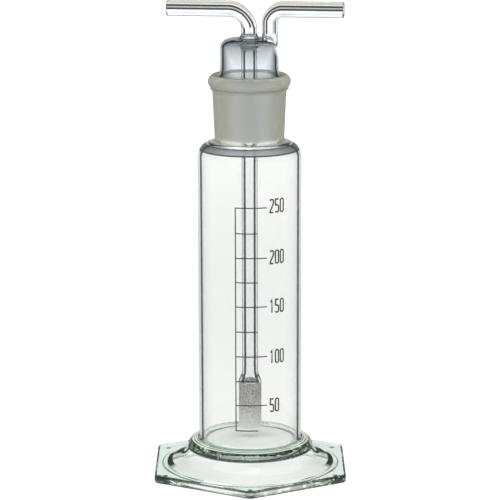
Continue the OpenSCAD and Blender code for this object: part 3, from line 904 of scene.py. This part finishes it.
def inlet_skin():
    """Stopper, dip tube and inlet: from the arm's end through the bore to the filter, up the
    dip tube, round the inside and outside of the stopper, and back along the arm."""
    skin = Skin()
    z0 = ARM_Z - INLET_BEND
    roof, dome_x, dome_z = DOME_TOP - DOME_WALL, DOME_R - DOME_ROUND, DOME_TOP - DOME_ROUND
    inner = DOME_R - DOME_WALL
    skin.add(straight([(INLET_END + 0.35, BORE_R + 0.35), (INLET_END + 0.8, BORE_R + 0.1)]
                      + line((INLET_END + 1.5, BORE_R), (-INLET_BEND, BORE_R), 10), -1), "bore")
    skin.add(bend(INLET_BEND, 0, z0, -1, BORE_R, 0.84, 0.97)[-2::-1], "bore")
    skin.add(line((BORE_R, z0), (BORE_R, TIP_Z + 5.0), 40), "bore")
    # the widening end above the filter, then up the outside of the dip tube
    skin.add([(3.5, TIP_Z)], "bore")
    skin.add([(3.7, TIP_Z), (TIP_R, TIP_Z)], "tube")
    skin.add(line((TIP_R, 46.9), (5.75, 47.6), 2) + [(4.9, 49.6), (4.25, 51.0)], "tube")
    skin.add(line((TUBE_R, 52.2), (TUBE_R, roof - 4.8), 40), "tube")
    # the seal under the dome's roof, the dome's inside, the inside of the cone
    skin.add([(4.15, roof - 4.0), (4.6, roof - 2.8), (5.1, roof - 1.6), (5.5, roof - 0.6)],
             "inside")
    skin.add(arc(6.3, roof - 0.8, 0.8, 180, 90, 3) + line((7, roof), (dome_x, roof), 2), "inside")
    skin.add(arc(dome_x, dome_z, DOME_ROUND - DOME_WALL, 88, 0, 14), "inside")
    skin.add(line((inner, dome_z), (inner, 209.0), 8), "inside")
    skin.add([(13.45, 207.6), (14.2, 206.2), (15.0, 205.2)], "inside")
    skin.add(line(CONE_INSIDE[1], CONE_INSIDE[0], 8), "inside")
    skin.add(arc(14.75, CONE_FOOT, CONE_FOOT_ROUND, 180, 270, 4), "inside")
    # the ground cone, and over it the dome's outside up to the seal
    skin.add(arc(15.1, CONE_FOOT, CONE_FOOT_ROUND, 270, 350, 4), "ground")
    skin.add(line(*CONE_OUTSIDE, 16), "ground")
    skin.add([(17.15, 205.1), (16.7, 205.9), (15.9, 206.8), (15.15, 207.9), (14.85, 209.2)],
             "dome")
    skin.add(line((DOME_R, 210.2), (DOME_R, dome_z), 6), "dome")
    skin.add(arc(dome_x, dome_z, DOME_ROUND, 4, 88, 20) + [(8.6, DOME_TOP)], "dome")
    seal_x, seal_z = TUBE_R + SEAL_FILLET, DOME_TOP + SEAL_FILLET
    skin.add(arc(seal_x, seal_z, SEAL_FILLET, 268, 182, 10), "dome")
    skin.add(line((TUBE_R, seal_z), (TUBE_R, z0), 2), "tube")
    skin.add(bend(INLET_BEND, 0, z0, -1, TUBE_R, 0.85, 0.98), "arm")
    skin.add(outer_arm(-INLET_BEND, INLET_END, -1), "arm")
    return skin


def dome_height(r, depth=0.0):
    """Height of the dome's outer face at a radius, or of a face below it."""
    flat = DOME_R - DOME_ROUND
    if r <= flat:
        return DOME_TOP - depth
    left = (DOME_ROUND - depth) ** 2 - (r - flat) ** 2
    return DOME_TOP - DOME_ROUND + math.sqrt(max(left, 0.0))


def sunk_ring(share):
    """A ring of the outlet's lower end, sunk into the dome's wall."""
    def at(t):
        x, y = RISER_X + SUNK_R * share * math.cos(t), SUNK_R * share * math.sin(t)
        return (x, y, dome_height(math.hypot(x, y), SUNK_DEPTH))
    return at


def skirt_ring(k):
    """A ring of the fillet between dome and riser, from 0 on the dome to 1 on the riser. It
    stays narrow on the right, where the riser meets the dome's round."""
    def at(t):
        grow = RISER_FILLET * (1 - math.sqrt(1 - (1 - k) ** 2))
        out = min(1.0, 2 * (1 - math.cos(t)))
        r = TUBE_R + grow * (0.15 + 0.85 * out)
        x, y = RISER_X + r * math.cos(t), r * math.sin(t)
        return (x, y, dome_height(math.hypot(x, y)) - 0.25 * (1 - k) + RISER_FILLET * k)
    return at


def outlet_skin():
    """The outlet as a solid arm, which starts inside the dome's wall."""
    skin = Skin()
    z0 = ARM_Z - OUTLET_BEND
    skin.add([(RISER_X, 0.0, dome_height(RISER_X, SUNK_DEPTH))], "tube")
    skin.add([sunk_ring(s) for s in (0.35, 0.7, 1.0)], "tube")
    skin.add([skirt_ring(k) for k in (0.0, 0.08, 0.2, 0.35, 0.55, 0.8, 1.0)], "dome")
    skin.add([riser_ring(TUBE_R, z) for z in (228.0, 230.5, z0)], "arm")
    skin.add(bend(OUTLET_BEND, RISER_X, z0, 1, TUBE_R, 0.85, 0.96), "arm")
    skin.add(outer_arm(RISER_X + OUTLET_BEND, OUTLET_END, 1), "arm")
    skin.add([(OUTLET_END, 0.0, ARM_Z)], "tube")
    return skin


def outlet_bore_skin():
    """The outlet's bore, from inside the dome to just past the arm's end."""
    skin = Skin()
    z0, low = ARM_Z - OUTLET_BEND, DOME_TOP - 7.5
    past = OUTLET_END + 2
    skin.add([(RISER_X, 0.0, low)], "bore")
    skin.add([riser_ring(2.2, low), riser_ring(2.2, DOME_TOP - 3)], "bore")
    skin.add([riser_ring(BORE_R, z) for z in (DOME_TOP + 0.5, 230, z0)], "bore")
    skin.add(bend(OUTLET_BEND, RISER_X, z0, 1, BORE_R, 0.83, 0.94), "bore")
    stations = line((RISER_X + OUTLET_BEND, BORE_R), (OUTLET_END - 1.0, BORE_R), 10)[1:]
    stations += [(OUTLET_END - 0.4, BORE_R + 0.1), (OUTLET_END, BORE_R + 0.5), (past, BORE_R + 0.5)]
    skin.add(straight(stations, 1), "bore")
    skin.add([(past, 0.0, ARM_Z)], "bore")
    return skin


def build_head():
    angles, mats, names = full_turn(ROUND_STEPS), list(head_glass.values()), list(head_glass)
    inlet, outlet = inlet_skin(), outlet_skin()
    head = inlet.mesh("head_glass", angles, mats, names, closed=True, place=turned)
    arm = outlet.mesh("arm_solid", angles, mats, names, place=turned)
    bore = outlet_bore_skin().mesh("bore_solid", angles, mats, names, place=turned)
    for tool, how in ((arm, "UNION"), (bore, "DIFFERENCE")):
        mod = head.modifiers.new(how, "BOOLEAN")
        mod.operation, mod.solver, mod.object = how, "EXACT", tool
        depsgraph = bpy.context.evaluated_depsgraph_get()
        done = bpy.data.meshes.new_from_object(head.evaluated_get(depsgraph))
        head.modifiers.clear()
        head.data = done
    for tool in (arm, bore):
        bpy.data.objects.remove(tool)
    clean(head, 40.0, flip=False)
    store_around(head, around(inlet, angles, -1, *INLET_LEVEL)
                 + around(outlet, angles, 1, *OUTLET_LEVEL))
    # the painted shade on the dome fades round the foot of the riser
    foot = turned([(RISER_X + 1.5, 0, DOME_TOP - 3)])[0]
    gaps = [math.dist([c / MM for c in v.co], foot) for v in head.data.vertices]
    store(head, "away", [min(1, max(LEAST_LINES, (gap - CLEAR_ROUND_RISER) / CLEAR_FADE))
                         for gap in gaps])
    return head


head = build_head()
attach(head, "head")
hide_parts("stopper", "inlet_arm", "outlet_arm", "dip_tube")


# ---------------------------------------------------------------- sintered filter
SINTER = [(0.36, (0.12, 0.118, 0.108)), (0.66, (0.39, 0.385, 0.365))]
SINTER_PALE = (0.66, 0.65, 0.63)


def sinter_material():
    """Grey grains, paler towards the filter's lower end."""
    m, nt = new_material("sintered_glass")
    p = nt.nodes.new("ShaderNodeBsdfPrincipled")
    grain = noise(nt, object_place(nt), 1100, 4)
    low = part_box("filter")[0][2]
    pale = ramp_node(nt, rim_coordinate(nt)[1],
                     [(low, 0.75), (low + 0.006, 0.4), (low + 0.016, 0.0)])
    tone = colour_mix(nt, pale, ramp_node(nt, grain, SINTER), SINTER_PALE)
    nt.links.new(tone, p.inputs["Base Color"])
    nt.links.new(bump(nt, grain, 0.5, 0.0002), p.inputs["Normal"])
    p.inputs["Roughness"].default_value = 0.85
    finish_material(nt, p.outputs["BSDF"])
    return m


def build_filter():
    """A thick-walled cup, open at the top where the dip tube's end closes it."""
    R, low, thick, rr, top = FILTER_R, FILTER_LOW, FILTER_WALL, FILTER_ROUND, TIP_Z
    prof = join([(0, low)], line((2.5, low), (R - rr, low), 2),
                arc(R - rr, low + rr, rr, -90, 0, 6), line((R, low + 1), (R, top - 0.3), 16),
                [(R - 0.1, top - 0.05), (R - thick, top - 0.05)],
                line((R - thick, top - 1), (R - thick, low + thick), 6), [(0, low + thick)])
    verts, faces, _ = revolve([circle_ring(r, z) for r, z in prof], full_turn(ROUND_STEPS))
    return mesh_object("filter_body", verts, faces, [sinter_material()])


filt = build_filter()
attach(filt, "head")
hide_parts("filter")


# ---------------------------------------------------------------- floor, light, camera
STAGE_HALF, STAGE_Z = 9.0, -0.0002      # m
# the floor is lighter within 0.12 m of the bottle, which paints light over the shade round its foot
STAGE_TONE_AND_LIGHT = [(0.12, 0.9), (0.3, 0.85), (0.5, 0.85), (0.9, 0.93)]       # by distance, in metres
SKY = [(0.0, (0.72, 0.76, 0.76)), (0.25, (0.68, 0.72, 0.73)), (0.4, (0.13, 0.145, 0.15)),
       (1.0, (0.12, 0.13, 0.14))]       # by the direction's height
SUNS = (("key", 2.5, 75, 42, -35), ("fill", 1.75, 85, 35, 70))  # strength, then degrees
FOCAL_PX, IMAGE_PX, SENSOR_MM = 2518.0, 500, 36.0
BOUNCES = 24        # enough for light to cross every wall of the head and the bottle
CAMERA_DISTANCE, CAMERA_TARGET = 1.2921, Vector((0.00013, 0.0, 0.11603))
CAMERA_ELEVATION, CAMERA_ROLL = math.radians(11.92), math.radians(-0.147)


def build_floor():
    mesh = bpy.data.meshes.new("floor")
    s = STAGE_HALF
    corners = [(x, y, STAGE_Z) for x, y in ((-s, -s), (s, -s), (s, s), (-s, s))]
    mesh.from_pydata(corners, [], [(0, 1, 2, 3)])
    obj = bpy.data.objects.new("floor", mesh)
    scene.collection.objects.link(obj)
    m, nt = new_material("floor_plain")
    d, far = nt.nodes.new("ShaderNodeBsdfDiffuse"), nt.nodes.new("ShaderNodeVectorMath")
    far.operation = "LENGTH"
    nt.links.new(object_place(nt), far.inputs[0])
    nt.links.new(ramp_node(nt, far.outputs["Value"], STAGE_TONE_AND_LIGHT), d.inputs["Color"])
    finish_material(nt, d.outputs["BSDF"])
    mesh.materials.append(m)


def build_lights():
    """A sky that is bright near the horizon and dark above, and two broad suns."""
    world = bpy.data.worlds.new("studio")
    scene.world = world
    world.use_nodes = True
    nt = world.node_tree
    background = nt.nodes["Background"]
    height = split_xyz(nt, nt.nodes.new("ShaderNodeTexCoord").outputs["Generated"])["Z"]
    nt.links.new(ramp_node(nt, height, SKY), background.inputs["Color"])
    background.inputs["Strength"].default_value = 1.0
    for name, power, spread, tilt, turn in SUNS:
        sun = bpy.data.lights.new(name, "SUN")
        sun.energy, sun.angle = power, math.radians(spread)
        obj = bpy.data.objects.new(name, sun)
        obj.rotation_euler = (math.radians(tilt), 0, math.radians(turn))
        obj.visible_glossy = False
        scene.collection.objects.link(obj)


def build_camera():
    sin, cos = math.sin(CAMERA_ELEVATION), math.cos(CAMERA_ELEVATION)
    forward, level, up = Vector((0, cos, -sin)), Vector((1, 0, 0)), Vector((0, sin, cos))
    sin, cos = math.sin(CAMERA_ROLL), math.cos(CAMERA_ROLL)
    axes = Matrix((cos * level + sin * up, cos * up - sin * level, -forward))
    cam = bpy.data.cameras.new("camera")
    cam.sensor_width = SENSOR_MM
    cam.lens = FOCAL_PX / IMAGE_PX * SENSOR_MM
    cam.clip_start, cam.clip_end = 0.05, 60
    obj = bpy.data.objects.new("camera", cam)
    obj.matrix_world = (Matrix.Translation(CAMERA_TARGET - CAMERA_DISTANCE * forward)
                        @ axes.transposed().to_4x4())
    scene.collection.objects.link(obj)
    scene.camera = obj


build_floor()
build_lights()
build_camera()
scene.view_settings.view_transform = "Standard"
scene.cycles.max_bounces = BOUNCES
scene.cycles.transmission_bounces = BOUNCES
scene.cycles.transparent_max_bounces = BOUNCES
scene.cycles.glossy_bounces = 8
scene.cycles.caustics_refractive = False
scene.cycles.caustics_reflective = False
